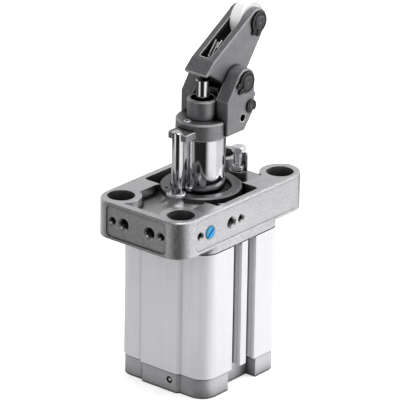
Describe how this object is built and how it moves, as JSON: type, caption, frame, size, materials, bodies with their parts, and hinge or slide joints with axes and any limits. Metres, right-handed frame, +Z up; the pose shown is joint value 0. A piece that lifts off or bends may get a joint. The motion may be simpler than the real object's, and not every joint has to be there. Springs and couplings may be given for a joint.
{
  "type": "pneumatic stopper cylinder",
  "caption": "Flange-mounted stopper cylinder with a guided rod, a cushioned toggle lever with roller, and a lock pawl.",
  "frame": {"origin": "centre of the end cap's underside, on the rod's axis", "axes": "+Z up along the rod's axis, +X along the flange's long side towards the side the lever leans to, +Y along the flange's short side"},
  "size_m": [0.083, 0.0482, 0.1571],
  "materials": {
    "cast_aluminium": "blasted casting",
    "anodised_aluminium": "clear anodised extrusion",
    "turned_aluminium": "turned",
    "sintered_bronze": "porous sintered",
    "bronze": "turned",
    "blue_plastic": "moulded",
    "white_plastic": "turned polyacetal",
    "rubber": "matte",
    "ground_steel": "hard chromed and polished",
    "zinc_steel": "zinc plated",
    "spring_steel": "drawn wire",
    "black_steel": "black oxide",
    "dark_steel": "hardened and ground",
    "magnet": "plastic-bonded ferrite",
    "cast_steel": "investment cast, blasted"
  },
  "bodies": {
    "housing": {"end_cap": "cast_aluminium", "vent_plug": "sintered_bronze", "barrel": "anodised_aluminium", "bearing_flange": "cast_aluminium", "port_plug": "blue_plastic", "tie_screws": "zinc_steel", "rod_bush": "bronze", "rod_seal": "rubber", "rod_wiper": "rubber", "flange_o_ring": "rubber", "cap_o_ring": "rubber", "upper_cushion_ring": "rubber", "lower_cushion_ring": "rubber", "guide_rod": "ground_steel", "guide_rod_bush": "ground_steel", "release_screw": "zinc_steel", "release_lock_nut": "zinc_steel", "return_spring": "spring_steel"},
    "rod": {"piston": "turned_aluminium", "piston_seal": "rubber", "magnet_ring": "magnet", "piston_screw": "zinc_steel", "piston_rod": "ground_steel", "clevis_head": "cast_steel", "head_lock_screw": "zinc_steel", "shock_absorber_body": "black_steel", "pivot_pin": "dark_steel", "pivot_pin_rings": "black_steel", "pawl_pin": "dark_steel", "pawl_pin_rings": "black_steel", "pawl_spring": "spring_steel"},
    "plunger": {"shock_absorber_plunger": "ground_steel"},
    "lever": {"toggle_lever": "cast_steel", "roller_pin": "dark_steel", "roller_pin_rings": "black_steel"},
    "roller": {"roller": "white_plastic"},
    "pawl": {"lock_pawl": "cast_steel"}
  },
  "joints": [
    {"name": "rod_slide", "type": "slide", "parent": "housing", "child": "rod", "axis": [0, 0, -1], "range_m": [0, 0.02], "stiffness_N_per_m": 400, "springref_m": -0.03, "deforming": ["return_spring"]},
    {"name": "lever_swing", "type": "hinge", "parent": "rod", "child": "lever", "pos_m": [0.0127, 0, 0.1282], "axis": [0, -1, 0], "range_deg": [0, 30], "stiffness_Nm_per_rad": 0.05, "springref_deg": -28.65},
    {"name": "plunger_slide", "type": "slide", "parent": "rod", "child": "plunger", "axis": [0, 0, -1], "range_m": [0, 0.00526]},
    {"name": "roller_spin", "type": "hinge", "parent": "lever", "child": "roller", "pos_m": [0.02792, 0, 0.14889], "axis": [0, -1, 0], "continuous": true},
    {"name": "pawl_swing", "type": "hinge", "parent": "rod", "child": "pawl", "pos_m": [0.016, 0, 0.1169], "axis": [0, -1, 0], "range_deg": [0, 8], "stiffness_Nm_per_rad": 0.01, "springref_deg": -17.19}
  ],
  "couplings": [
    {"joint": "plunger_slide", "follows": "lever_swing", "m_per_rad": 0.010008}
  ]
}
